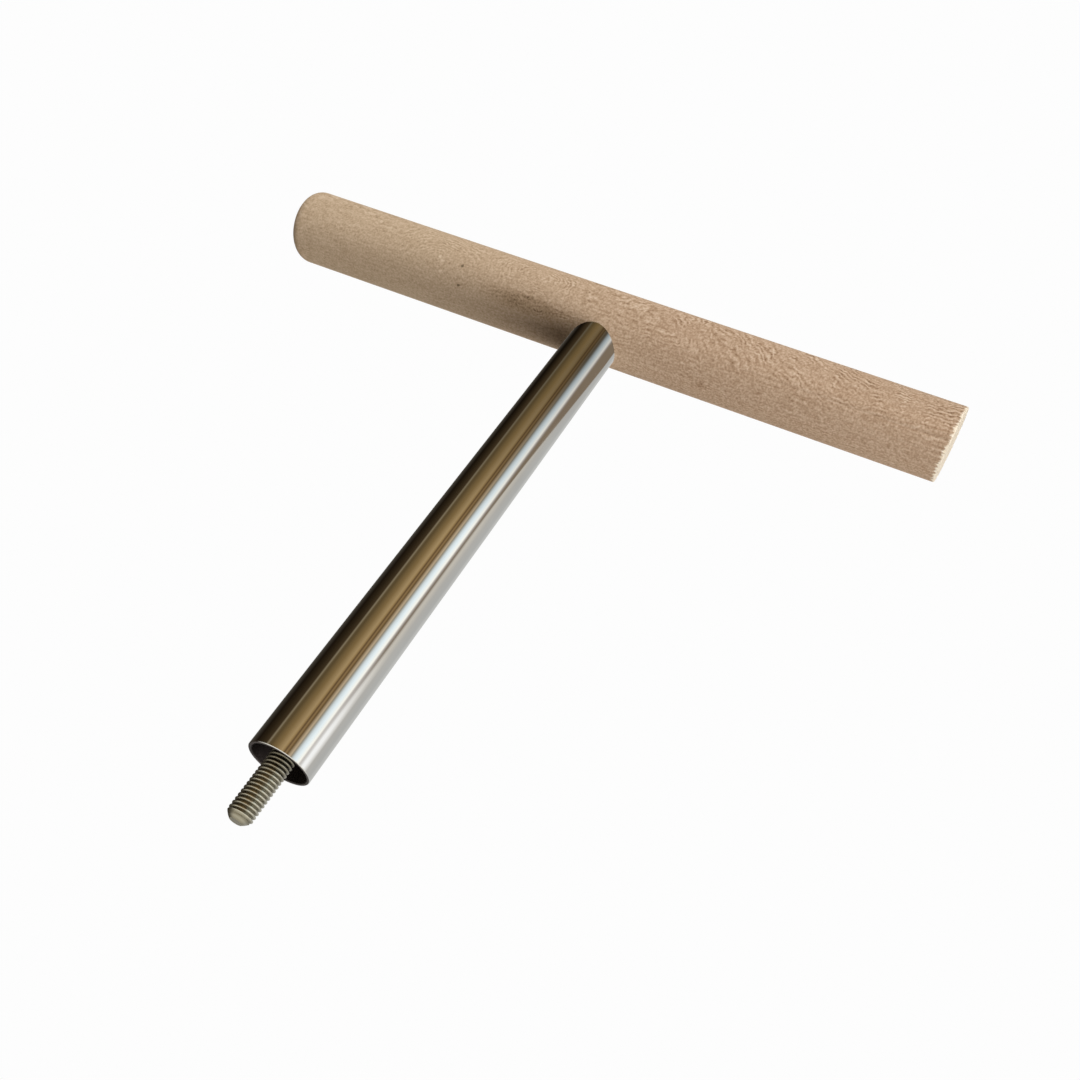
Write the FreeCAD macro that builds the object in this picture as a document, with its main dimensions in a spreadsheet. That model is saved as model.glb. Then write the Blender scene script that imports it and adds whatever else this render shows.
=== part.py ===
"""Perch head of a bird T-stand: a wooden crossbar on a plated tube, held by a stud that screws into a base.

The origin is the centre of the tube's lower rim, which seats on the base. +Z runs up the tube, +X along the
crossbar. Lengths are millimetres.
"""
import FreeCAD, Part
import os

import Sketcher

# Driving dimensions
SIZES = {
    # Crossbar, measured on its axis, with one end sanded round and the other sawn a few degrees out of square
    "dowel_dia": 30.0,
    "dowel_length": 282.0,
    "round_end": 5.0,
    "saw_slant": 5.5,
    # Tube, and the socket that it is let into
    "tube_dia": 20.0,
    "tube_wall": 1.0,
    "tube_length": 210.0,
    "rim_chamfer": 0.2,
    "socket_depth": 8.0,
    "socket_gap": 0.1,
    # Double-ended M8 stud: rolled threads on a thinner blank, out of the tube below and into the insert above
    "thread_dia": 8.0,
    "thread_length": 28.0,
    "thread_runout": 1.0,
    "thread_chamfer": 2.0,
    "thread_gap": 0.05,
    "shank_dia": 7.1,
    "stud_out": 19.0,
    "stud_grip": 14.0,
    # Slotted wood insert
    "insert_dia": 12.5,
    "insert_length": 15.0,
    "insert_gap": 0.05,
    "slot_width": 2.0,
    "slot_depth": 2.0,
    "hole_spare": 2.0,
    # Washer and nut that lock the stud to the wood
    "washer_thick": 1.6,
    "washer_gap": 1.0,
    "washer_play": 0.2,
    "nut_flats": 13.0,
    "nut_height": 6.8,
    "nut_bevel": 30.0,
    # Bush that keeps the stud on the tube's axis
    "bush_depth": 12.0,
    "bush_length": 15.0,
    "bush_fit": 0.05,
    "bush_play": 0.2,
    "bush_chamfer": 1.0,
}

# Places along the tube and radii, worked out from the sheet
DOWEL_RADIUS = "Sizes.dowel_dia / 2"
HALF_DOWEL = "Sizes.dowel_length / 2"
SAW_RISE = "Sizes.dowel_dia"
SAW_DRIFT = f"{SAW_RISE} * tan(Sizes.saw_slant)"
DOWEL_AXIS = "Sizes.tube_length - Sizes.socket_depth + Sizes.dowel_dia / 2"
SOCKET_RADIUS = "Sizes.tube_dia / 2 + Sizes.socket_gap"
SOCKET_FLOOR = "Sizes.tube_length"
FLOOR_FROM_AXIS = "Sizes.socket_depth - Sizes.dowel_dia / 2"
TUBE_RADIUS = "Sizes.tube_dia / 2"
TUBE_BORE = "Sizes.tube_dia / 2 - Sizes.tube_wall"
INSERT_RADIUS = "Sizes.insert_dia / 2"
THREAD_RADIUS = "Sizes.thread_dia / 2"
THREADED_HOLE = "Sizes.thread_dia / 2 + Sizes.thread_gap"
WASHER_UNDERSIDE = "Sizes.tube_length - Sizes.washer_thick"

doc = FreeCAD.newDocument("bird_t_stand")
sheet = doc.addObject("Spreadsheet::Sheet", "Sizes")
for row, (alias, value) in enumerate(SIZES.items(), start=1):
    sheet.set(f"A{row}", alias)
    sheet.set(f"B{row}", str(value))
    sheet.setAlias(f"B{row}", alias)
doc.recompute()


def new_body(label):
    body = doc.addObject("PartDesign::Body", label)
    body.Label = label
    return body


def attach(feature, body, role, height=None):
    """Lay a sketch or primitive on one of the body's own origin planes, raised along its normal."""
    plane = next(item for item in body.Origin.OriginFeatures if item.Role == role)
    feature.AttachmentSupport = [(plane, "")]
    feature.MapMode = "FlatFace"
    if height:
        feature.setExpression("AttachmentOffset.Base.z", height)


def new_sketch(body, role, name, height=None):
    sketch = body.newObject("Sketcher::SketchObject", name)
    attach(sketch, body, role, height)
    return sketch


def bind(sketch, constraint, size):
    index = sketch.addConstraint(constraint)
    sketch.setExpression(f"Constraints[{index}]", size)


def add_circle(sketch, radius):
    """A circle about the sketch's origin."""
    start = sketch.evalExpression(radius)
    circle = sketch.addGeometry(Part.Circle(FreeCAD.Vector(), FreeCAD.Vector(0, 0, 1), start))
    sketch.addConstraint(Sketcher.Constraint("Coincident", circle, 3, -1, 1))
    bind(sketch, Sketcher.Constraint("Radius", circle, start), radius)


def add_outline(sketch, corners):
    """A closed outline of straight edges. A corner is two expressions, or None where it lies on an axis."""
    places = []
    for across, along in corners:
        x = sketch.evalExpression(across) if across else 0.0
        y = sketch.evalExpression(along) if along else 0.0
        places.append(FreeCAD.Vector(x, y, 0))
    edges = []
    for place, following in zip(places, places[1:] + places[:1]):
        edges.append(sketch.addGeometry(Part.LineSegment(place, following)))
    for edge, following in zip(edges, edges[1:] + edges[:1]):
        sketch.addConstraint(Sketcher.Constraint("Coincident", edge, 2, following, 1))
    for edge, place, (across, along) in zip(edges, places, corners):
        if across:
            bind(sketch, Sketcher.Constraint("DistanceX", -1, 1, edge, 1, place.x), across)
        else:
            sketch.addConstraint(Sketcher.Constraint("PointOnObject", edge, 1, -2))
        if along:
            bind(sketch, Sketcher.Constraint("DistanceY", -1, 1, edge, 1, place.y), along)
        else:
            sketch.addConstraint(Sketcher.Constraint("PointOnObject", edge, 1, -1))


def pad(body, sketch, name, length):
    feature = body.newObject("PartDesign::Pad", name)
    feature.Profile = sketch
    feature.setExpression("Length", length)
    return feature


def pocket_up(body, sketch, name, depth):
    feature = body.newObject("PartDesign::Pocket", name)
    feature.Profile = sketch
    feature.Reversed = True
    feature.setExpression("Length", depth)
    return feature


def turn(body, kind, sketch, name):
    """Revolve a sketch about its upright axis, to add or to groove."""
    feature = body.newObject(kind, name)
    feature.Profile = sketch
    feature.ReferenceAxis = (sketch, ["V_Axis"])
    feature.Angle = 360
    return feature


def dress_rims(body, base, name, kind, size, wanted=lambda rim: True):
    """Fillet or chamfer the full-circle edges of a feature, or those whose circle is wanted."""
    doc.recompute()
    rims = []
    for number, edge in enumerate(base.Shape.Edges, start=1):
        if edge.Closed and wanted(edge.Curve):
            rims.append(f"Edge{number}")
    feature = body.newObject(f"PartDesign::{kind}", name)
    feature.Base = (base, rims)
    feature.setExpression("Radius" if kind == "Fillet" else "Size", size)
    return feature


def ring(label, outer, inner, underside, height):
    """A body that is one upright ring about the tube's axis, and the feature that makes it."""
    body = new_body(label)
    sketch = new_sketch(body, "XY_Plane", f"{label}_rings", underside)
    add_circle(sketch, outer)
    add_circle(sketch, inner)
    return body, pad(body, sketch, f"{label}_ring", height)


def make_perch_dowel():
    """Round bar along X, sawn off so that its end face leans down a little, with a flat-bottomed socket for the tube
    and, above it, a hole for the insert."""
    body = new_body("perch_dowel")
    body.setExpression("Placement.Base.z", DOWEL_AXIS)
    section = new_sketch(body, "YZ_Plane", "dowel_section")
    add_circle(section, DOWEL_RADIUS)
    bar = pad(body, section, "dowel_bar", f"{HALF_DOWEL} + {SAW_DRIFT}")
    bar.SideType = "Two sides"
    bar.setExpression("Length2", HALF_DOWEL)
    dress_rims(body, bar, "sanded_end", "Fillet", "Sizes.round_end", lambda rim: rim.Center.x < 0)

    offcut = new_sketch(body, "XZ_Plane", "offcut_outline")
    corners = [
        (f"{HALF_DOWEL} + {SAW_DRIFT}", SAW_RISE),
        (f"{HALF_DOWEL} - {SAW_DRIFT}", f"-{SAW_RISE}"),
        (f"{HALF_DOWEL} + {SAW_DRIFT}", f"-{SAW_RISE}"),
    ]
    add_outline(offcut, corners)
    sawn = body.newObject("PartDesign::Pocket", "saw_cut")
    sawn.Profile = offcut
    sawn.Type = "ThroughAll"
    sawn.SideType = "Symmetric"

    mouth = new_sketch(body, "XY_Plane", "socket_section", FLOOR_FROM_AXIS)
    add_circle(mouth, SOCKET_RADIUS)
    socket = body.newObject("PartDesign::Pocket", "tube_socket")
    socket.Profile = mouth
    socket.Type = "ThroughAll"

    bore = new_sketch(body, "XY_Plane", "insert_hole_section", FLOOR_FROM_AXIS)
    add_circle(bore, f"{INSERT_RADIUS} + Sizes.insert_gap")
    pocket_up(body, bore, "insert_hole", "Sizes.insert_length + Sizes.hole_spare")
    return body


def make_stem_tube():
    """Thin-walled tube with deburred ends, from the rim that seats on the base to the socket's floor."""
    body, wall = ring("stem_tube", TUBE_RADIUS, TUBE_BORE, None, "Sizes.tube_length")
    dress_rims(body, wall, "deburred_rims", "Chamfer", "Sizes.rim_chamfer")
    return body


def make_tie_rod():
    """Turned outline of the stud: chamfered tips, a thread at each end and the thinner blank between them."""
    body = new_body("tie_rod")
    outline = new_sketch(body, "XZ_Plane", "stud_outline")
    low = "-Sizes.stud_out"
    high = "Sizes.tube_length + Sizes.stud_grip"
    shank = "Sizes.shank_dia / 2"
    tip = f"{THREAD_RADIUS} - Sizes.thread_chamfer"
    corners = [
        (None, low),
        (tip, low),
        (THREAD_RADIUS, f"{low} + Sizes.thread_chamfer"),
        (THREAD_RADIUS, f"{low} + Sizes.thread_length"),
        (shank, f"{low} + Sizes.thread_length + Sizes.thread_runout"),
        (shank, f"{high} - Sizes.thread_length - Sizes.thread_runout"),
        (THREAD_RADIUS, f"{high} - Sizes.thread_length"),
        (THREAD_RADIUS, f"{high} - Sizes.thread_chamfer"),
        (tip, high),
        (None, high),
    ]
    add_outline(outline, corners)
    turn(body, "PartDesign::Revolution", outline, "stud")
    return body


def make_insert_nut():
    """Threaded sleeve in the wood, flush with the socket's floor, with a driving slot across its face."""
    body, _ = ring("insert_nut", INSERT_RADIUS, THREADED_HOLE, SOCKET_FLOOR, "Sizes.insert_length")
    slot = new_sketch(body, "XY_Plane", "slot_outline", SOCKET_FLOOR)
    side = "Sizes.slot_width / 2"
    reach = "Sizes.insert_dia"
    corners = [
        (f"-{reach}", f"-{side}"),
        (reach, f"-{side}"),
        (reach, side),
        (f"-{reach}", side),
    ]
    add_outline(slot, corners)
    pocket_up(body, slot, "driving_slot", "Sizes.slot_depth")
    return body


def make_lock_washer():
    """Flat washer under the insert's face, inside the tube."""
    outer = f"{TUBE_BORE} - Sizes.washer_gap"
    inner = f"{THREAD_RADIUS} + Sizes.washer_play"
    body, _ = ring("lock_washer", outer, inner, WASHER_UNDERSIDE, "Sizes.washer_thick")
    return body


def make_lock_nut():
    """Hexagon nut against the washer, with the corners turned off at both faces."""
    body = new_body("lock_nut")
    underside = f"{WASHER_UNDERSIDE} - Sizes.nut_height"
    corner = "Sizes.nut_flats / 2 / cos(30)"
    blank = body.newObject("PartDesign::AdditivePrism", "hexagon_blank")
    attach(blank, body, "XY_Plane", underside)
    blank.Polygon = 6
    blank.setExpression("Circumradius", corner)
    blank.setExpression("Height", "Sizes.nut_height")

    hole = new_sketch(body, "XY_Plane", "nut_hole_section", underside)
    add_circle(hole, THREADED_HOLE)
    pocket_up(body, hole, "nut_hole", "Sizes.nut_height")

    inside = "Sizes.nut_flats / 2"
    drop = f"({corner} - {inside}) * tan(Sizes.nut_bevel)"
    for name, face, edge in (
        ("lower", underside, f"{underside} + {drop}"),
        ("upper", WASHER_UNDERSIDE, f"{WASHER_UNDERSIDE} - {drop}"),
    ):
        bevel = new_sketch(body, "XZ_Plane", f"{name}_bevel_outline")
        add_outline(bevel, [(inside, face), (corner, face), (corner, edge)])
        turn(body, "PartDesign::Groove", bevel, f"{name}_bevel")
    return body


def make_centring_bush():
    """Plastic ring pressed into the tube, out of sight behind its open end, with a lead-in at both ends."""
    outer = f"{TUBE_BORE} - Sizes.bush_fit"
    inner = f"{THREAD_RADIUS} + Sizes.bush_play"
    body, sleeve = ring("centring_bush", outer, inner, "Sizes.bush_depth", "Sizes.bush_length")
    bore = sleeve.evalExpression(inner)
    dress_rims(body, sleeve, "lead_in", "Chamfer", "Sizes.bush_chamfer", lambda rim: rim.Radius > bore + 1e-6)
    return body


pieces = [
    make_perch_dowel(),
    make_stem_tube(),
    make_tie_rod(),
    make_insert_nut(),
    make_lock_washer(),
    make_lock_nut(),
    make_centring_bush(),
]
doc.recompute()

for item in doc.Objects:
    if "Invalid" in item.State or "Error" in item.State:
        raise RuntimeError(f"{item.Label} failed to recompute")
    if item.TypeId in ("PartDesign::Pocket", "PartDesign::Groove"):
        if item.Shape.Volume >= item.BaseFeature.Shape.Volume:
            raise RuntimeError(f"{item.Label} cuts nothing")
for piece in pieces:
    if piece.Shape.isNull() or not piece.Shape.isValid() or len(piece.Shape.Solids) != 1:
        raise RuntimeError(f"{piece.Label} isn't one valid solid")

os.makedirs("parts", exist_ok=True)
for piece in pieces:
    piece.Shape.exportStep(f"parts/{piece.Label}.step")
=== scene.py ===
from math import cos, pi, radians, sin

import bmesh
import bpy
from mathutils import Matrix, Vector


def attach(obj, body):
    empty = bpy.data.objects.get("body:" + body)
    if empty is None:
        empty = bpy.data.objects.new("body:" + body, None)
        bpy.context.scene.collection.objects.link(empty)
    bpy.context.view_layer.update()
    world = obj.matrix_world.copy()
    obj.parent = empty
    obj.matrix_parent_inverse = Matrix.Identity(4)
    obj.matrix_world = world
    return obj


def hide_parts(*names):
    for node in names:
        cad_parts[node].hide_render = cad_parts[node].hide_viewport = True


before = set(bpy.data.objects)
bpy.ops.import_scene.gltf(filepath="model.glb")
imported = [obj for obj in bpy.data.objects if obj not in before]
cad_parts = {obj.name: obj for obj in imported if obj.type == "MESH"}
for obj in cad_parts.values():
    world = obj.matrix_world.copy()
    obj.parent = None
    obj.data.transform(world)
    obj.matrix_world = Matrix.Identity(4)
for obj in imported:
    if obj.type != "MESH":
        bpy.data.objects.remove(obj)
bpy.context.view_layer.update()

# The perch bar: a 30 mm rod of pale bare hardwood, turned and sanded, bored from below for the tube and the
# insert. Its left end is rounded over for a bird's feet. Its right end is as the hand saw left it, a little
# out of square, with pale broken fibres round the cut.
MM = 0.001
BAR_RADIUS = 15 * MM
BAR_END = 141 * MM
BAR_AXIS = 217 * MM
BAR_SIDES = 256
ROUND_OVER = 5 * MM
SAW_SLANT = radians(5.5)
SAW_WASTE = 10 * MM
SAW_BREAK = 0.35 * MM
FRAYING = 0.16 * MM
FRAYED_WIDTH = 0.6 * MM
FRAYED_DEPTH = 0.5 * MM
SOCKET_RADIUS = 10.03 * MM
SOCKET_FLOOR = 210 * MM
SOCKET_SIDES = 128
BESIDE_SOCKET = 22 * MM
DRILL_LENGTH = 20 * MM
INSERT_RADIUS = 6.3 * MM
INSERT_TOP = 227 * MM
CLOSE = 0.1 * MM
VERY_CLOSE = 0.01 * MM
WELD = 0.001 * MM


def pick(obj, wanted, kind="verts"):
    """Selects only the vertices, edges or faces of obj, in edit mode, whose corners all pass the test."""
    bpy.ops.mesh.select_mode(type={"verts": "VERT", "edges": "EDGE", "faces": "FACE"}[kind])
    bpy.ops.mesh.select_all(action="DESELECT")
    mesh = bmesh.from_edit_mesh(obj.data)
    for part in getattr(mesh, kind):
        corners = [part.co] if kind == "verts" else [corner.co for corner in part.verts]
        part.select_set(all(wanted(corner) for corner in corners))
    mesh.select_flush_mode()
    bmesh.update_edit_mesh(obj.data)


bpy.ops.object.select_all(action="DESELECT")
bpy.ops.mesh.primitive_cylinder_add(vertices=BAR_SIDES, radius=BAR_RADIUS, depth=2 * BAR_END + SAW_WASTE,
                                    location=(SAW_WASTE / 2, 0, BAR_AXIS), rotation=(0, pi / 2, 0))
bar = bpy.context.object
bar.name = bar.data.name = "perch_bar"
bpy.ops.object.transform_apply(location=True, rotation=True, scale=True)
bpy.ops.object.mode_set(mode="EDIT")
pick(bar, lambda co: co.x < -BAR_END + CLOSE, "edges")
bpy.ops.mesh.bevel(offset=ROUND_OVER, segments=12, profile=0.5, affect="EDGES")
saw_normal = Vector((cos(SAW_SLANT), 0, -sin(SAW_SLANT)))
bpy.ops.mesh.select_all(action="SELECT")
bpy.ops.mesh.bisect(plane_co=(BAR_END, 0, BAR_AXIS), plane_no=saw_normal, use_fill=True, clear_outer=True,
                    threshold=WELD)


def from_saw_cut(co):
    """How far a point of the bar lies inside the sawn face."""
    return (Vector((BAR_END, 0, BAR_AXIS)) - co).dot(saw_normal)


def from_bar_axis(co):
    """How far a point of the bar lies from the bar's own axis."""
    return Vector((0, co.y, co.z - BAR_AXIS)).length


pick(bar, lambda co: abs(from_saw_cut(co)) < VERY_CLOSE, "edges")
bpy.ops.mesh.bevel(offset=SAW_BREAK, segments=2, profile=0.5, affect="EDGES")
pick(bar, lambda co: from_saw_cut(co) < FRAYED_WIDTH and from_bar_axis(co) > BAR_RADIUS - FRAYED_DEPTH)
bpy.ops.transform.vertex_random(offset=FRAYING, uniform=0.0, normal=0.0, seed=7)
# A cut round the bar on each side of the socket keeps the faces at its mouth short.
for place in (-BESIDE_SOCKET, BESIDE_SOCKET):
    bpy.ops.mesh.select_all(action="SELECT")
    bpy.ops.mesh.bisect(plane_co=(place, 0, BAR_AXIS), plane_no=(1, 0, 0))
bpy.ops.object.mode_set(mode="OBJECT")


def join_shape(target, other, operation):
    """Applies one boolean of another closed shape to target and removes that shape."""
    bpy.context.view_layer.objects.active = target
    change = target.modifiers.new("shape", "BOOLEAN")
    change.operation, change.solver, change.object = operation, "EXACT", other
    bpy.ops.object.modifier_apply(modifier=change.name)
    bpy.data.objects.remove(other)


bpy.ops.object.select_all(action="DESELECT")
bpy.ops.mesh.primitive_cylinder_add(vertices=SOCKET_SIDES, radius=SOCKET_RADIUS, depth=DRILL_LENGTH,
                                    location=(0, 0, SOCKET_FLOOR - DRILL_LENGTH / 2))
cutter = bpy.context.object
bpy.ops.object.transform_apply(location=True)
bpy.ops.object.mode_set(mode="EDIT")
pick(cutter, lambda co: co.z > SOCKET_FLOOR - CLOSE, "faces")
bpy.ops.mesh.inset(thickness=SOCKET_RADIUS - INSERT_RADIUS)
bpy.ops.mesh.extrude_region_move(TRANSFORM_OT_translate={"value": (0, 0, INSERT_TOP - SOCKET_FLOOR)})
bpy.ops.object.mode_set(mode="OBJECT")
join_shape(bar, cutter, "DIFFERENCE")
bpy.ops.object.select_all(action="DESELECT")
bar.select_set(True)
bpy.ops.object.shade_smooth_by_angle(angle=radians(32))


def hex_colour(text):
    """An sRGB hex colour as linear red, green, blue and alpha."""
    parts = [int(text[i:i + 2], 16) / 255 for i in (1, 3, 5)]
    return (*[c / 12.92 if c <= 0.04045 else ((c + 0.055) / 1.055) ** 2.4 for c in parts], 1.0)


def add(tree, kind, into=None, stops=None, **settings):
    """Adds a node: settings are its own, into its sockets' values or links, stops a ramp's colours."""
    made = tree.nodes.new("ShaderNode" + kind)
    for name, value in settings.items():
        setattr(made, name, value)
    for socket, value in (into or {}).items():
        if isinstance(value, bpy.types.NodeSocket):
            tree.links.new(value, made.inputs[socket])
        else:
            made.inputs[socket].default_value = value
    if stops:
        points = made.color_ramp.elements
        while len(points) < len(stops):
            points.new(1.0)
        for point, (place, colour) in zip(points, stops):
            point.position, point.color = place, hex_colour(colour)
    return made


def new_material(name):
    """An empty node material and its tree."""
    made = bpy.data.materials.new(name)
    made.use_nodes = True
    made.node_tree.nodes.clear()
    return made, made.node_tree


# Bare sanded plane wood: pale tan with no varnish, so it is matt. Its figure is a fine ripple that follows
# the growth rings and closes into eyes where small branches grew, clearest high up and near the sawn end.
# A finer speckle, faint long fibres, a mottle near the rounded end and a few pin knots lie over it.
RIPPLE_MM = 1.3
PITH_MM = 45.0
GRAIN_TURN = radians(20)
GRAIN_RUN = radians(2)
# Each eye: its place, how far its rings are drawn out along the bar, and how far they reach.
EYES_MM = [
    ((122.0, -12.0, 9.0), 2.4, 32.0),
    ((-29.0, -14.5, -2.0), 1.6, 0.0),
    ((-72.0, -12.5, -8.5), 1.6, -2.0),
]
EYE_BLEND_MM = 6.0
SWIRL_MM, SWIRL_DEPTH_MM = 13.0, 5.0
WAVER_MM, WAVER_DEPTH_MM = 2.6, 2.2
PATCH_MM = 6.0
FIBRE_MM = (16.0, 0.5, 0.5)
SPECKLE_MM = 0.8
MOTTLE_MM = 3.0
TONE_MM = (60.0, 22.0, 22.0)
# Where the ripple grows clear, along the bar and up its side, and where mottle and sapwood end.
CLEAR_START_MM, CLEAR_END_MM = -90, 110
UPPER_START_MM, UPPER_END_MM = -14, 0
MOTTLE_START_MM, MOTTLE_END_MM = -128, -98
SAP_START_MM, SAP_END_MM = -80, 30
# How far each part lightens or darkens the wood, and what keeps the sum of them centred.
RIPPLE_SHADE, SPECKLE_SHADE, FIBRE_SHADE, TONE_SHADE = 0.14, 0.85, 0.35, 0.15
SHADE_CENTRE = 0.175
# Each pin knot: its place, its size and how dark it is. The last three are pale flecks.
PIN_KNOTS_MM = [
    ((-60.9, -12.6, -8.1), 0.85, 0.8),
    ((-60.1, -6.9, -13.3), 0.8, 0.65),
    ((-65.7, -15.0, -1.0), 0.7, 0.4),
    ((-66.4, -12.3, -8.6), 0.7, 0.35),
    ((46.0, -0.7, -15.0), 2.6, 0.16),
    ((-71.3, -13.0, -7.5), 1.1, -0.4),
    ((-69.9, -12.2, -8.8), 1.2, -0.35),
    ((-69.1, -9.5, -11.6), 1.0, -0.3),
]
# A painted shadow beside the tube that deepens the tube's shadow on the bar's underside, in which the
# ripple stands out more: its place and half size.
SHADOW_PATCH_MM, SHADOW_PATCH_SIZE_MM = (-29.0, -8.6, -12.3), (23.0, 5.0, 5.0)
SHADOW_PATCH_SHADE, SHADOW_PATCH_RIPPLE = -0.24, 1.9
wood, tree = new_material("bare_plane_wood")
place = add(tree, "TexCoord")
mm = add(tree, "Mapping", {0: place.outputs["Object"], "Location": (0, 0, -BAR_AXIS / MM),
                           "Scale": (1 / MM,) * 3})
grain = add(tree, "Mapping", {0: mm.outputs[0], "Rotation": (GRAIN_TURN, 0, GRAIN_RUN)})
along = add(tree, "SeparateXYZ", {0: mm.outputs[0]})
pith = add(tree, "VectorMath", {0: grain.outputs[0], 1: (0, 1, 1), 2: (0, -PITH_MM, 0)},
           operation="MULTIPLY_ADD")
pith = add(tree, "VectorMath", {0: pith.outputs[0]}, operation="LENGTH")
ring = add(tree, "Math", {0: pith.outputs["Value"], 1: PITH_MM}, operation="SUBTRACT")
for spot, length, reach in EYES_MM:
    eye = add(tree, "Mapping", {0: mm.outputs[0], "Location": (-spot[0] / length, -spot[1], -spot[2]),
                                "Scale": (1 / length, 1, 1)})
    eye = add(tree, "VectorMath", {0: eye.outputs[0]}, operation="LENGTH")
    eye = add(tree, "Math", {0: eye.outputs["Value"], 1: reach}, operation="SUBTRACT")
    ring = add(tree, "Math", {0: ring.outputs[0], 1: eye.outputs[0], 2: EYE_BLEND_MM},
               operation="SMOOTH_MIN")
for size, depth in ((SWIRL_MM, SWIRL_DEPTH_MM), (WAVER_MM, WAVER_DEPTH_MM)):
    bend = add(tree, "TexNoise", {"Vector": grain.outputs[0], "Scale": 1 / size, "Detail": 1.0})
    ring = add(tree, "Math", {0: bend.outputs[0], 1: depth, 2: ring.outputs[0]}, operation="MULTIPLY_ADD")
ripple = add(tree, "Math", {0: ring.outputs[0], 1: 2 * pi / RIPPLE_MM}, operation="MULTIPLY")
ripple = add(tree, "Math", {0: ripple.outputs[0]}, operation="SINE")
patch = add(tree, "TexNoise", {"Vector": mm.outputs[0], "Scale": 1 / PATCH_MM, "Detail": 1.0})
patch = add(tree, "MapRange", {0: patch.outputs[0], 1: 0.38, 2: 0.64, 3: 0.15, 4: 1.2})
clear = add(tree, "MapRange", {0: along.outputs["X"], 1: CLEAR_START_MM, 2: CLEAR_END_MM, 3: 0.6, 4: 1.1})
upper = add(tree, "MapRange", {0: along.outputs["Z"], 1: UPPER_START_MM, 2: UPPER_END_MM, 3: 0.5, 4: 1.5})
# Painted shadow: the wood is darker in an oval beside the tube, where the tube's shadow falls.
painted_shadow_patch = add(tree, "VectorMath", {0: mm.outputs[0], 1: SHADOW_PATCH_MM}, operation="SUBTRACT")
painted_shadow_patch = add(tree, "VectorMath", {0: painted_shadow_patch.outputs[0], 1: SHADOW_PATCH_SIZE_MM}, operation="DIVIDE")
painted_shadow_patch = add(tree, "VectorMath", {0: painted_shadow_patch.outputs[0]}, operation="LENGTH")
painted_shadow_patch = add(tree, "MapRange", {0: painted_shadow_patch.outputs["Value"], 1: 1.0, 2: 0.4})
lacy = add(tree, "MapRange", {0: painted_shadow_patch.outputs[0], 3: 1.0, 4: SHADOW_PATCH_RIPPLE})
for part in (patch, clear, upper, lacy):
    ripple = add(tree, "Math", {0: ripple.outputs[0], 1: part.outputs[0]}, operation="MULTIPLY")
speckle = add(tree, "TexNoise", {"Vector": mm.outputs[0], "Scale": 1 / SPECKLE_MM, "Detail": 1.0})
fibre = add(tree, "Mapping", {0: grain.outputs[0], "Scale": tuple(1 / size for size in FIBRE_MM)})
fibre = add(tree, "TexNoise", {"Vector": fibre.outputs[0], "Scale": 1.0, "Detail": 3.0})
tone = add(tree, "Mapping", {0: grain.outputs[0], "Scale": tuple(1 / size for size in TONE_MM)})
tone = add(tree, "TexNoise", {"Vector": tone.outputs[0], "Scale": 1.0, "Detail": 2.0})
mottle = add(tree, "TexNoise", {"Vector": mm.outputs[0], "Scale": 1 / MOTTLE_MM, "Detail": 2.0})
near_end = add(tree, "MapRange", {0: along.outputs["X"], 1: MOTTLE_START_MM, 2: MOTTLE_END_MM,
                                  3: 0.55, 4: 0.12})
mottle = add(tree, "Math", {0: mottle.outputs[0], 1: 0.5}, operation="SUBTRACT")
mottle = add(tree, "Math", {0: mottle.outputs[0], 1: near_end.outputs[0]}, operation="MULTIPLY")
shade = add(tree, "Math", {0: ripple.outputs[0], 1: RIPPLE_SHADE, 2: mottle.outputs[0]},
            operation="MULTIPLY_ADD")
shade = add(tree, "Math", {0: shade.outputs[0], 1: SHADE_CENTRE}, operation="SUBTRACT")
# The painted shadow beside the tube darkens the wood here too.
for part, strength in ((painted_shadow_patch, SHADOW_PATCH_SHADE), (speckle, SPECKLE_SHADE), (fibre, FIBRE_SHADE),
                       (tone, TONE_SHADE)):
    shade = add(tree, "Math", {0: part.outputs[0], 1: strength, 2: shade.outputs[0]},
                operation="MULTIPLY_ADD")
for spot, size, darkness in PIN_KNOTS_MM:
    away = add(tree, "VectorMath", {0: mm.outputs[0], 1: spot}, operation="DISTANCE")
    knot = add(tree, "MapRange", {0: away.outputs["Value"], 1: 0.3 * size, 2: size, 3: darkness, 4: 0.0})
    shade = add(tree, "Math", {0: shade.outputs[0], 1: knot.outputs[0]}, operation="SUBTRACT")
side = add(tree, "ValToRGB", {0: shade.outputs[0]}, stops=[
    (0.0, "#4E3524"), (0.1, "#7C6047"), (0.3, "#A3866B"), (0.5, "#B89C82"), (0.7, "#CAB097"),
    (1.0, "#DDC9B1")])
# Towards the rounded end the wood turns to sapwood, which is plainer and a little yellower.
sap = add(tree, "MapRange", {0: along.outputs["X"], 1: SAP_START_MM, 2: SAP_END_MM, 3: 0.25, 4: 0.0})
side = add(tree, "Mix", {0: sap.outputs[0], 6: side.outputs[0], 7: hex_colour("#D0C2A2")}, data_type="RGBA")
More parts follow.
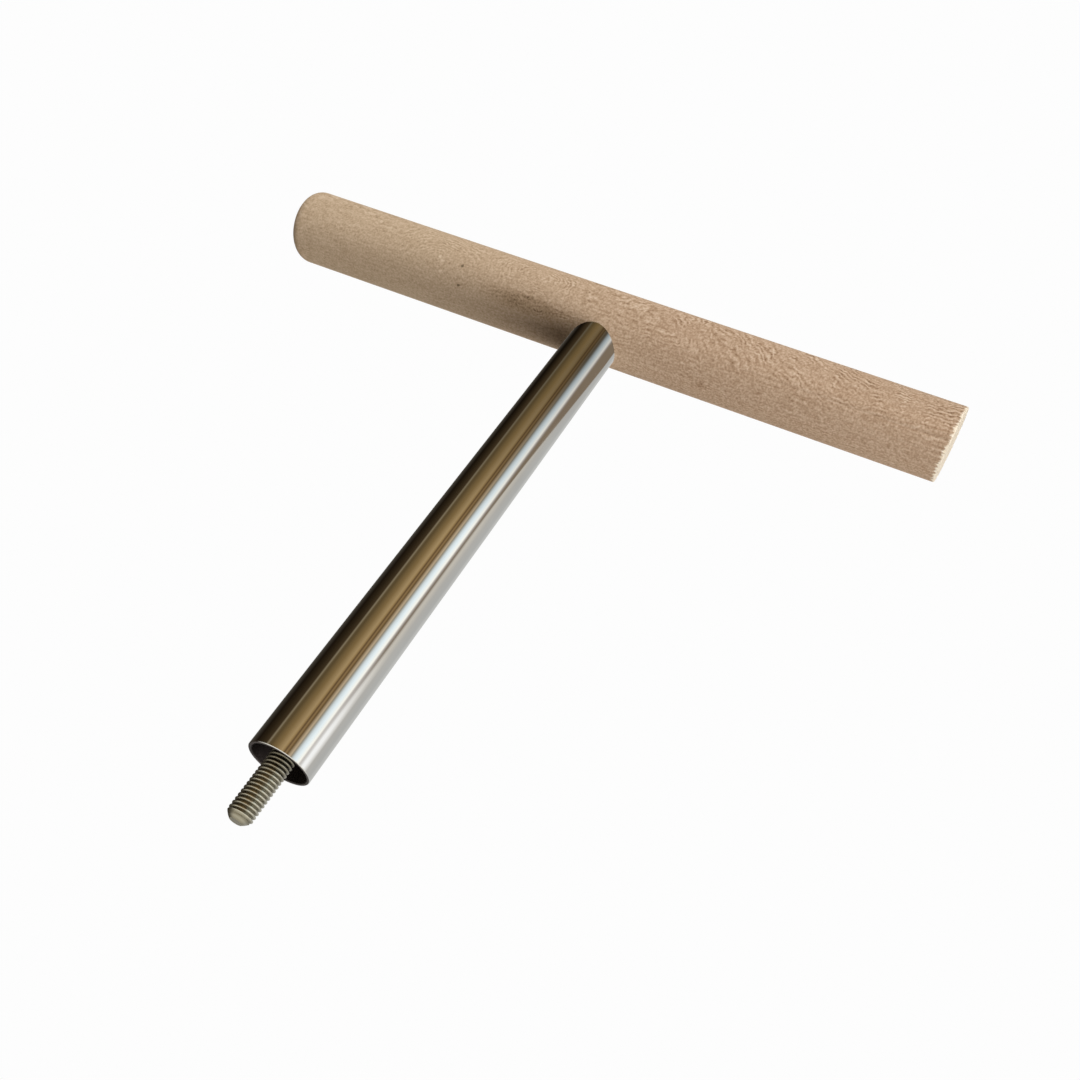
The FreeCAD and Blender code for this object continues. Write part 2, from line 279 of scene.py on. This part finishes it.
# The sawn end and the tips of its broken fibres are pale cream, painted paler still as a highlight where
# the low light from the right falls, with the pores as fine darker dots.
SAW_PLACE_MM = BAR_END * cos(SAW_SLANT) / MM
SPLINTER_MM = (9.0, 0.7, 0.7)
SPLINTER_REACH_MM = 3.2
PORE_MM = 0.6
edge = add(tree, "VectorMath", {0: mm.outputs[0], 1: tuple(saw_normal)}, operation="DOT_PRODUCT")
tips = add(tree, "Mapping", {0: grain.outputs[0], "Scale": tuple(1 / size for size in SPLINTER_MM)})
tips = add(tree, "TexNoise", {"Vector": tips.outputs[0], "Scale": 1.0, "Detail": 2.0})
reach = add(tree, "MapRange", {0: edge.outputs["Value"], 1: SAW_PLACE_MM - SPLINTER_REACH_MM,
                               2: SAW_PLACE_MM, 3: -0.55, 4: 0.3})
frayed = add(tree, "Math", {0: tips.outputs[0], 1: reach.outputs[0]}, operation="ADD")
frayed = add(tree, "MapRange", {0: frayed.outputs[0], 1: 0.5, 2: 0.7})
pores = add(tree, "TexVoronoi", {"Vector": mm.outputs[0], "Scale": 1 / PORE_MM})
# The end grain's colour is painted paler than the wood is, as a highlight where the low light from the
# right falls on the sawn end.
end_grain_and_highlight = add(tree, "ValToRGB", {0: pores.outputs["Distance"]}, stops=[
    (0.1, "#DCC5A0"), (0.3, "#F8E9D0"), (0.8, "#FFF4E2")])
colour = add(tree, "Mix", {0: frayed.outputs[0], 6: side.outputs[2], 7: end_grain_and_highlight.outputs[0]},
             data_type="RGBA")
height = add(tree, "Math", {0: ripple.outputs[0], 1: 0.3, 2: fibre.outputs[0]}, operation="MULTIPLY_ADD")
bump = add(tree, "Bump", {"Strength": 0.35, "Distance": 0.15 * MM, "Height": height.outputs[0]})
rough = add(tree, "MapRange", {0: fibre.outputs[0], 3: 0.62, 4: 0.8})
skin = add(tree, "BsdfPrincipled", {"Base Color": colour.outputs[2], "Roughness": rough.outputs[0],
                                    "Normal": bump.outputs[0], "Specular IOR Level": 0.3})
add(tree, "OutputMaterial", {0: skin.outputs[0]})
bar.data.materials.clear()
bar.data.materials.append(wood)
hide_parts("perch_dowel")
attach(bar, "root")

# The stem: a 20 mm steel tube with a 1 mm wall, let into the bar's socket, plated outside and bare inside.
# The CAD node has the right shape and stays.
TUBE_PLATED = 9.82 * MM
SMEAR_SCALE = 60.0
# Bright chrome plate: a mirror with a faint haze in patches. The cut face and the inside are bare drawn
# steel with scale and oil, dark, and painted darker still as the shade inside the tube.
chrome, tree = new_material("bright_chrome_plate")
place = add(tree, "TexCoord")
across = add(tree, "VectorMath", {0: place.outputs["Object"], 1: (1, 1, 0)}, operation="MULTIPLY")
radius = add(tree, "VectorMath", {0: across.outputs[0]}, operation="LENGTH")
inside = add(tree, "Math", {0: radius.outputs["Value"], 1: TUBE_PLATED}, operation="LESS_THAN")
smear = add(tree, "TexNoise", {"Vector": place.outputs["Object"], "Scale": SMEAR_SCALE, "Detail": 3.0})
plate_rough = add(tree, "MapRange", {0: smear.outputs[0], 1: 0.35, 2: 0.7, 3: 0.04, 4: 0.08})
rough = add(tree, "Mix", {0: inside.outputs[0], 2: plate_rough.outputs[0], 3: 0.55})
plated = add(tree, "Math", {0: 1.0, 1: inside.outputs[0]}, operation="SUBTRACT")
# The inside's colour is painted near black as the shade inside the tube, over the dark scale.
scale = add(tree, "ValToRGB", {0: smear.outputs[0]}, stops=[(0.3, "#1E1A18"), (0.7, "#443C3A")])
tint = add(tree, "ValToRGB", {0: smear.outputs[0]}, stops=[(0.3, "#E4E4E2"), (0.7, "#EAEAE8")])
colour = add(tree, "Mix", {0: inside.outputs[0], 6: tint.outputs[0], 7: scale.outputs[0]},
             data_type="RGBA")
skin = add(tree, "BsdfPrincipled", {"Base Color": colour.outputs[2], "Roughness": rough.outputs[0],
                                    "Metallic": plated.outputs[0]})
add(tree, "OutputMaterial", {0: skin.outputs[0]})
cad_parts["stem_tube"].material_slots[0].material = chrome

# The stud: one steel rod down the middle of the tube, with an M8 thread rolled on both ends and a chamfered
# tip that stands out below. One threaded end is modelled and copied to the top. A plain shank joins them.
PITCH = 1.25 * MM
CREST = 3.97 * MM
ROOT = 3.3 * MM
STUD_TIP = -19 * MM
STUD_TOP = 224 * MM
THREAD_LENGTH = 28 * MM
TIP_CHAMFER = 2.0 * MM
SHANK_RADIUS = 3.55 * MM
ROD_SIDES = 96
BLANK_SPARE = 0.05 * MM
SHANK_OVERLAP = 1 * MM
TURN_STEPS = 48
SPARE_TURNS = 4
FINE_WELD = 0.0001 * MM
# One pitch of the rolled thread, as height and radius: rounded root, flank, crest rubbed round, flank.
THREAD_FORM = [(0.0, ROOT + 0.08 * MM), (0.1 * MM, ROOT), (0.2 * MM, ROOT), (0.3 * MM, ROOT + 0.08 * MM),
               (0.58 * MM, CREST - 0.1 * MM), (0.68 * MM, CREST - 0.02 * MM), (0.78 * MM, CREST),
               (0.88 * MM, CREST - 0.02 * MM), (0.98 * MM, CREST - 0.1 * MM), (PITCH, ROOT + 0.08 * MM)]
bpy.ops.object.select_all(action="DESELECT")
bpy.ops.mesh.primitive_plane_add(size=1 * MM, location=(THREAD_FORM[0][1], 0, STUD_TIP - 2 * PITCH))
thread = bpy.context.object
bpy.ops.object.transform_apply(location=True)
bpy.ops.object.mode_set(mode="EDIT")
bpy.ops.mesh.select_mode(type="VERT")
bpy.ops.mesh.select_all(action="SELECT")
bpy.ops.mesh.merge(type="CENTER")
for (low, from_radius), (high, to_radius) in zip(THREAD_FORM, THREAD_FORM[1:]):
    step = (to_radius - from_radius, 0, high - low)
    bpy.ops.mesh.extrude_vertices_move(TRANSFORM_OT_translate={"value": step})
bpy.ops.object.mode_set(mode="OBJECT")
wind = thread.modifiers.new("wind", "SCREW")
wind.axis, wind.angle, wind.screw_offset = "Z", 2 * pi, PITCH
wind.iterations = int(THREAD_LENGTH / PITCH) + SPARE_TURNS
wind.steps = wind.render_steps = TURN_STEPS
bpy.ops.object.modifier_apply(modifier=wind.name)
bpy.ops.object.mode_set(mode="EDIT")
bpy.ops.mesh.select_all(action="SELECT")
bpy.ops.mesh.remove_doubles(threshold=WELD)
for height, away in ((STUD_TIP, -1), (STUD_TIP + THREAD_LENGTH, 1)):
    bpy.ops.mesh.select_all(action="SELECT")
    bpy.ops.mesh.bisect(plane_co=(0, 0, height), plane_no=(0, 0, away), use_fill=True, clear_outer=True,
                        threshold=FINE_WELD)
bpy.ops.mesh.select_all(action="SELECT")
bpy.ops.mesh.normals_make_consistent(inside=False)
bpy.ops.object.mode_set(mode="OBJECT")

bpy.ops.object.select_all(action="DESELECT")
bpy.ops.mesh.primitive_cylinder_add(vertices=ROD_SIDES, radius=CREST + BLANK_SPARE, depth=THREAD_LENGTH,
                                    location=(0, 0, STUD_TIP + THREAD_LENGTH / 2))
blank = bpy.context.object
bpy.ops.object.transform_apply(location=True)
bpy.ops.object.mode_set(mode="EDIT")
pick(blank, lambda co: abs(co.z - STUD_TIP) < CLOSE, "edges")
bpy.ops.mesh.bevel(offset=TIP_CHAMFER, segments=3, profile=0.3, affect="EDGES")
pick(blank, lambda co: abs(co.z - STUD_TIP - THREAD_LENGTH) < CLOSE, "edges")
bpy.ops.mesh.bevel(offset=CREST - SHANK_RADIUS, segments=1, affect="EDGES")
bpy.ops.object.mode_set(mode="OBJECT")

join_shape(thread, blank, "INTERSECT")
stud = thread
stud.name = stud.data.name = "threaded_stud"
upper_end = stud.copy()
upper_end.data = stud.data.copy()
bpy.context.collection.objects.link(upper_end)
upper_end.data.transform(Matrix.Translation((0, 0, STUD_TOP - STUD_TIP - THREAD_LENGTH)))
bpy.ops.object.select_all(action="DESELECT")
bpy.ops.mesh.primitive_cylinder_add(vertices=ROD_SIDES, radius=SHANK_RADIUS,
                                    depth=STUD_TOP - STUD_TIP - 2 * THREAD_LENGTH + SHANK_OVERLAP,
                                    location=(0, 0, (STUD_TOP + STUD_TIP) / 2))
shank = bpy.context.object
bpy.ops.object.transform_apply(location=True)
join_shape(stud, shank, "UNION")
join_shape(stud, upper_end, "UNION")
bpy.ops.object.select_all(action="DESELECT")
stud.select_set(True)
bpy.ops.object.shade_smooth_by_angle(angle=radians(35))

# Rolled bright steel gone dull: grey with an olive cast, lighter on the crests and the tip, partly where
# they are rubbed and partly as a painted highlight, with some dirt left in the roots. Painted shade darkens
# it towards the tube, and faint rings on the tip are what the chamfer left of the thread.
GRIME_SCALE, GRIME_SHADE = 900.0, 0.35
TIP_WEAR_AND_HIGHLIGHT = 0.72
TRACE_DEPTH, TRACE_LEVEL = 0.35, 0.75
TUBE_SHADE_START, TUBE_SHADE_FULL, TUBE_SHADE_AMOUNT = -5 * MM, 1 * MM, 0.5
steel, tree = new_material("rolled_steel_thread")
place = add(tree, "TexCoord")
across = add(tree, "VectorMath", {0: place.outputs["Object"], 1: (1, 1, 0)}, operation="MULTIPLY")
radius = add(tree, "VectorMath", {0: across.outputs[0]}, operation="LENGTH")
# The crests are painted lighter, partly rubbed metal and partly painted highlight; the roots keep some
# dirt.
depth = add(tree, "MapRange", {0: radius.outputs["Value"], 1: ROOT, 2: CREST})
grime = add(tree, "TexNoise", {"Vector": place.outputs["Object"], "Scale": GRIME_SCALE, "Detail": 3.0})
wear_highlight_and_shade = add(tree, "Math", {0: grime.outputs[0], 1: GRIME_SHADE, 2: depth.outputs[0]},
           operation="MULTIPLY_ADD")
along = add(tree, "SeparateXYZ", {0: place.outputs["Object"]})
# The tip is painted lighter too, partly rubbed and partly a painted highlight.
tip = add(tree, "MapRange", {0: along.outputs["Z"], 1: STUD_TIP + TIP_CHAMFER, 4: TIP_WEAR_AND_HIGHLIGHT,
                             2: STUD_TIP + 0.4 * TIP_CHAMFER})
trace = add(tree, "Math", {0: along.outputs["Z"], 1: 2 * pi / PITCH}, operation="MULTIPLY")
trace = add(tree, "Math", {0: trace.outputs[0]}, operation="SINE")
trace = add(tree, "Math", {0: trace.outputs[0], 1: TRACE_DEPTH, 2: TRACE_LEVEL}, operation="MULTIPLY_ADD")
tip = add(tree, "Math", {0: tip.outputs[0], 1: trace.outputs[0]}, operation="MULTIPLY")
wear_highlight_and_shade = add(tree, "Math", {0: wear_highlight_and_shade.outputs[0], 1: tip.outputs[0]}, operation="MAXIMUM")
# Painted shade: darker towards the tube's mouth, where the tube shades the stud.
painted_tube_shade = add(tree, "MapRange", {0: along.outputs["Z"], 1: TUBE_SHADE_START, 2: TUBE_SHADE_FULL, 4: TUBE_SHADE_AMOUNT})
wear_highlight_and_shade = add(tree, "Math", {0: wear_highlight_and_shade.outputs[0], 1: painted_tube_shade.outputs[0]}, operation="SUBTRACT")
# The darkest stop shows only in the painted shade towards the tube.
colour = add(tree, "ValToRGB", {0: wear_highlight_and_shade.outputs[0]}, stops=[
    (0.0, "#3A362C"), (0.15, "#96917F"), (0.5, "#9E9989"), (0.9, "#B6B2A3"), (1.0, "#D4D1C2")])
rough = add(tree, "MapRange", {0: wear_highlight_and_shade.outputs[0], 1: 0.1, 2: 1.1, 3: 0.45, 4: 0.3})
skin = add(tree, "BsdfPrincipled", {"Base Color": colour.outputs[0], "Roughness": rough.outputs[0],
                                    "Metallic": 1.0})
add(tree, "OutputMaterial", {0: skin.outputs[0]})
stud.data.materials.clear()
stud.data.materials.append(steel)
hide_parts("tie_rod")
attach(stud, "root")

# The wood insert: a slotted bush turned from brass, screwed into the bar above the socket to hold the stud.
# Free-cutting brass: warm yellow metal with fine rings from the lathe.
TOOL_RINGS_MM = 0.4
# A wave texture of scale 1 turns through this many radians in a metre.
WAVE_RADIANS = 20
brass, tree = new_material("turned_brass")
place = add(tree, "TexCoord")
rings = add(tree, "TexWave", {"Vector": place.outputs["Object"], "Distortion": 0.6,
                              "Scale": 2 * pi / (WAVE_RADIANS * TOOL_RINGS_MM * MM)}, bands_direction="Z")
colour = add(tree, "ValToRGB", {0: rings.outputs["Color"]}, stops=[(0.0, "#A98748"), (1.0, "#D6B56E")])
bump = add(tree, "Bump", {"Strength": 0.2, "Distance": 0.03 * MM, "Height": rings.outputs["Color"]})
skin = add(tree, "BsdfPrincipled", {"Base Color": colour.outputs[0], "Roughness": 0.32, "Metallic": 1.0,
                                    "Normal": bump.outputs[0]})
add(tree, "OutputMaterial", {0: skin.outputs[0]})
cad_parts["insert_nut"].material_slots[0].material = brass

# The washer and the hexagon nut that lock the stud against the wood, out of sight inside the tube.
# Zinc-plated steel: pale bluish grey with a soft crystal mottle.
CRYSTAL_MM = 1.2
zinc, tree = new_material("zinc_plated_steel")
place = add(tree, "TexCoord")
crystal = add(tree, "TexVoronoi", {"Vector": place.outputs["Object"], "Scale": 1 / (CRYSTAL_MM * MM)})
colour = add(tree, "ValToRGB", {0: crystal.outputs["Distance"]}, stops=[(0.0, "#B4B8BA"), (0.8, "#D2D5D6")])
rough = add(tree, "MapRange", {0: crystal.outputs["Distance"], 3: 0.3, 4: 0.42})
skin = add(tree, "BsdfPrincipled", {"Base Color": colour.outputs[0], "Roughness": rough.outputs[0],
                                    "Metallic": 1.0})
add(tree, "OutputMaterial", {0: skin.outputs[0]})
for node in ("lock_washer", "lock_nut"):
    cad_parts[node].material_slots[0].material = zinc

# The bush that keeps the stud in the middle of the tube, pressed in behind the open end.
# Black moulded nylon: a satin black with a fine spark-eroded grain.
GRAIN_MM = 0.25
nylon, tree = new_material("black_moulded_nylon")
place = add(tree, "TexCoord")
pitting = add(tree, "TexNoise", {"Vector": place.outputs["Object"], "Scale": 1 / (GRAIN_MM * MM),
                                 "Detail": 2.0})
colour = add(tree, "ValToRGB", {0: pitting.outputs[0]}, stops=[(0.3, "#151515"), (0.7, "#222222")])
bump = add(tree, "Bump", {"Strength": 0.3, "Distance": 0.03 * MM, "Height": pitting.outputs[0]})
skin = add(tree, "BsdfPrincipled", {"Base Color": colour.outputs[0], "Roughness": 0.5,
                                    "Normal": bump.outputs[0]})
add(tree, "OutputMaterial", {0: skin.outputs[0]})
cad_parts["centring_bush"].material_slots[0].material = nylon

# The floor under the stud's tip: matt pale board that fades into the white surroundings at its edge.
# The photograph looks up from below it, so it is clear from underneath and lets the low lamps through.
FLOOR_RADIUS = 700 * MM
FADE_START, FADE_END = 0.35 * FLOOR_RADIUS, 0.95 * FLOOR_RADIUS
bpy.ops.object.select_all(action="DESELECT")
bpy.ops.mesh.primitive_circle_add(vertices=96, radius=FLOOR_RADIUS, fill_type="NGON",
                                  location=(0, 0, STUD_TIP))
floor = bpy.context.object
floor.name = floor.data.name = "floor"
bpy.ops.object.transform_apply(location=True)
board, tree = new_material("pale_floor_board")
place = add(tree, "TexCoord")
away = add(tree, "VectorMath", {0: place.outputs["Object"]}, operation="LENGTH")
fade = add(tree, "MapRange", {0: away.outputs["Value"], 1: FADE_START, 2: FADE_END},
           interpolation_type="SMOOTHSTEP")
facing = add(tree, "NewGeometry")
hidden = add(tree, "Math", {0: fade.outputs[0], 1: facing.outputs["Backfacing"]}, operation="MAXIMUM")
matt = add(tree, "BsdfDiffuse", {"Color": hex_colour("#F4F3F1")})
clear = add(tree, "BsdfTransparent")
seen = add(tree, "MixShader", {0: hidden.outputs[0], 1: matt.outputs[0], 2: clear.outputs[0]})
add(tree, "OutputMaterial", {0: seen.outputs[0]})
floor.data.materials.append(board)
floor.visible_diffuse = floor.visible_glossy = floor.visible_shadow = False

# The surroundings: plain white to the camera, and soft light on the object that is pale from the front and
# above and a dim brown from behind and below. The metal mirrors a studio set round it in upright bands:
# each has its azimuth in degrees, its colour, and how much of that is left at its top.
SOFT_FROM = (0, -0.8, 0.6)
SOFT_LIGHT = [(0.0, "#2A1C0C"), (0.5, "#4A3826"), (1.0, "#C8C6C2")]
SOFT_STRENGTH = 0.55
SET_SEAM = 115
SET_STRENGTH = 1.25
SET_TOP_START, SET_TOP_END = 0.54, 0.7
STUDIO_SET = {
    "unlit grey wall": [(115, "#BEBEBC", 1.0), (122, "#585550", 1.1), (150, "#3A352E", 1.0)],
    "black flag": [(178, "#18110A", 0.5), (200, "#281F13", 1.0), (219, "#3A2E1E", 1.0)],
    "lit edge of the flag": [(225, "#80745E", 0.4), (230, "#5A4C34", 0.8)],
    "oak board": [(236, "#54452C", 0.9), (258, "#7A6440", 0.75), (277, "#A08862", 0.4),
                  (282, "#92784F", 0.4)],
    "dark joint": [(287, "#55402A", 0.55), (292, "#8A704C", 0.4), (298, "#5C472A", 0.5)],
    "window frame": [(308, "#B8A488", 0.12), (313, "#8A8272", 0.3)],
    "window": [(322, "#CCD6DA", 0.4), (332, "#E4EFF4", 0.5), (344, "#F8F6EE", 0.62)],
    "dark gap": [(350, "#A8A09A", 0.95), (355, "#847A70", 0.9)],
    "pale wall": [(368, "#C2BCB2", 0.85), (388, "#AEACA8", 0.95), (412, "#ABABA9", 1.0),
                  (475, "#BEBEBC", 1.0)],
}


def round_the_set(azimuth):
    """An azimuth in degrees as a share of the full turn that starts at the seam."""
    return (azimuth - SET_SEAM) / 360


world = bpy.data.worlds.new("studio")
world.use_nodes = True
tree = world.node_tree
tree.nodes.clear()
ray = add(tree, "LightPath")
place = add(tree, "TexCoord")
heading = add(tree, "SeparateXYZ", {0: place.outputs["Generated"]})
turn = add(tree, "Math", {0: heading.outputs["Y"], 1: heading.outputs["X"]}, operation="ARCTAN2")
turn = add(tree, "Math", {0: turn.outputs[0], 1: radians(SET_SEAM)}, operation="SUBTRACT")
turn = add(tree, "Math", {0: turn.outputs[0], 1: 1 / (2 * pi)}, operation="MULTIPLY")
turn = add(tree, "Math", {0: turn.outputs[0]}, operation="FRACT")
bands = [band for board in STUDIO_SET.values() for band in board]
studio_set = add(tree, "ValToRGB", {0: turn.outputs[0]}, stops=[
    (round_the_set(azimuth), colour) for azimuth, colour, left in bands])
set_top = add(tree, "FloatCurve", {1: turn.outputs[0]})
top_curve = set_top.mapping.curves[0].points
for azimuth, colour, left in bands[1:-1]:
    top_curve.new(round_the_set(azimuth), left).handle_type = "VECTOR"
top_curve[0].location, top_curve[-1].location = (0, bands[0][2]), (1, bands[-1][2])
set_top.mapping.update()
climb = add(tree, "MapRange", {0: heading.outputs["Z"], 1: SET_TOP_START, 2: SET_TOP_END})
dimming = add(tree, "Mix", {0: climb.outputs[0], 2: 1.0, 3: set_top.outputs[0]})
dimming = add(tree, "Math", {0: dimming.outputs[0], 1: SET_STRENGTH}, operation="MULTIPLY")
frontal = add(tree, "VectorMath", {0: place.outputs["Generated"], 1: SOFT_FROM}, operation="DOT_PRODUCT")
frontal = add(tree, "MapRange", {0: frontal.outputs["Value"], 1: -1, 2: 1})
soft_light = add(tree, "ValToRGB", {0: frontal.outputs[0]}, stops=SOFT_LIGHT)
white = add(tree, "Background", {"Color": hex_colour("#FDFDFD"), "Strength": 1.0})
soft = add(tree, "Background", {"Color": soft_light.outputs[0], "Strength": SOFT_STRENGTH})
mirrored = add(tree, "Background", {"Color": studio_set.outputs[0], "Strength": dimming.outputs[0]})
# The underside of the bar's right arm is mirrored as a brown flare that narrows down the tube to a line.
ARM_LEFT, ARM_LEFT_CLEAR, ARM_RIGHT, ARM_FLARE = 353, 359, 360, 46
ARM_BLUR = 0.006
flare = add(tree, "Math", {0: climb.outputs[0], 1: 2.0}, operation="POWER")
flare = add(tree, "Math", {0: flare.outputs[0], 1: ARM_FLARE / 360, 2: round_the_set(ARM_RIGHT)},
            operation="MULTIPLY_ADD")
within = add(tree, "Math", {0: flare.outputs[0], 1: turn.outputs[0]}, operation="SUBTRACT")
within = add(tree, "MapRange", {0: within.outputs[0], 1: -ARM_BLUR, 2: ARM_BLUR})
beyond = add(tree, "MapRange", {0: turn.outputs[0], 1: round_the_set(ARM_LEFT),
                                2: round_the_set(ARM_LEFT_CLEAR)})
arm = add(tree, "Math", {0: within.outputs[0], 1: beyond.outputs[0]}, operation="MULTIPLY")
arm_wood = add(tree, "Background", {"Color": hex_colour("#786A5A"), "Strength": SET_STRENGTH})
mirrored = add(tree, "MixShader", {0: arm.outputs[0], 1: mirrored.outputs[0], 2: arm_wood.outputs[0]})
# A white card stands low on the right and is mirrored just above the rim. Its sides fade between azimuths.
CARD_TOP, CARD_FULL = 0.43, 0.35
CARD_SIDES = ((345, 362), (388, 370))
CARD_STRENGTH = 1.1
card = add(tree, "MapRange", {0: heading.outputs["Z"], 1: CARD_TOP, 2: CARD_FULL})
for clear_at, full_at in CARD_SIDES:
    faded = add(tree, "MapRange", {0: turn.outputs[0], 1: round_the_set(clear_at),
                                   2: round_the_set(full_at)})
    card = add(tree, "Math", {0: card.outputs[0], 1: faded.outputs[0]}, operation="MULTIPLY")
card_white = add(tree, "Background", {"Color": hex_colour("#FFFFFF"), "Strength": CARD_STRENGTH})
mirrored = add(tree, "MixShader", {0: card.outputs[0], 1: mirrored.outputs[0], 2: card_white.outputs[0]})
# White paper lies under the set and lights up the stud's tip and the edge of the rim.
PAPER_EDGE, PAPER_FULL = -0.5, -0.8
below = add(tree, "MapRange", {0: heading.outputs["Z"], 1: PAPER_EDGE, 2: PAPER_FULL})
paper = add(tree, "Background", {"Color": hex_colour("#F4F0E4"), "Strength": 1.0})
mirrored = add(tree, "MixShader", {0: below.outputs[0], 1: mirrored.outputs[0], 2: paper.outputs[0]})
lit = add(tree, "MixShader", {0: ray.outputs["Is Glossy Ray"], 1: soft.outputs[0], 2: mirrored.outputs[0]})
plain = add(tree, "MixShader", {0: ray.outputs["Is Camera Ray"], 1: lit.outputs[0], 2: white.outputs[0]})
add(tree, "OutputWorld", {0: plain.outputs[0]})
bpy.context.scene.world = world
# The tube mirrors this set alone and not the bar, because its left flank is black in the photograph. Only
# the bar's right arm shows there, and the brown flare stands for it.
bar.visible_glossy = False

# The lamps: a broad panel in front, another high behind, and two wide low lights from the right that throw
# the tube's shadow along the bar's underside. None of them is mirrored in the metal, which has its own set.
LAMP_AIM = Vector((0, 0, 0.12))
# Each panel: its place, its size and its watts.
LAMPS = {"front_panel": ((0.05, -1.25, 0.7), 1.0, 18.2), "back_panel": ((0.1, 1.05, 0.95), 1.0, 14.0)}
for name, (spot, size, watts) in LAMPS.items():
    light = bpy.data.lights.new(name, "AREA")
    light.size, light.energy = size, watts
    lamp = bpy.data.objects.new(name, light)
    lamp.location = spot
    lamp.rotation_euler = (LAMP_AIM - Vector(spot)).to_track_quat("-Z", "Y").to_euler()
    lamp.visible_glossy = False
    bpy.context.collection.objects.link(lamp)
# Each low light: the way its rays travel, the angle that it fills and its strength.
LOW_LAMPS = {"low_panel": ((-0.83, -0.05, 0.56), 39, 1.65), "under_panel": ((-0.42, -0.06, 0.91), 36, 1.25)}
for name, (travel, spread, strength) in LOW_LAMPS.items():
    light = bpy.data.lights.new(name, "SUN")
    light.angle, light.energy = radians(spread), strength
    lamp = bpy.data.objects.new(name, light)
    lamp.rotation_euler = Vector(travel).to_track_quat("-Z", "Y").to_euler()
    lamp.visible_glossy = False
    bpy.context.collection.objects.link(lamp)

# The camera, as worked out from the photograph's outlines: below the open end of the tube, looking up at
# the bar, with the lens shifted because the picture is cropped off centre.
camera = bpy.data.objects.new("camera", bpy.data.cameras.new("camera"))
camera.data.sensor_width = 36.0
camera.data.lens = 35.53
camera.data.shift_x, camera.data.shift_y = -0.0731, 0.0032
camera.data.clip_start = 0.01
stands_at = Vector((0.12943, -0.27213, -0.09753))
right = Vector((0.9080, -0.0639, 0.4140))
down = Vector((0.3559, 0.6389, -0.6820))
ahead = Vector((-0.2210, 0.7666, 0.6029))
facing_bar = Matrix((right, -down, -ahead)).transposed().to_quaternion()
camera.matrix_world = Matrix.LocRotScale(stands_at, facing_bar, None)
bpy.context.collection.objects.link(camera)
bpy.context.scene.camera = camera
bpy.context.scene.view_settings.view_transform = "Standard"
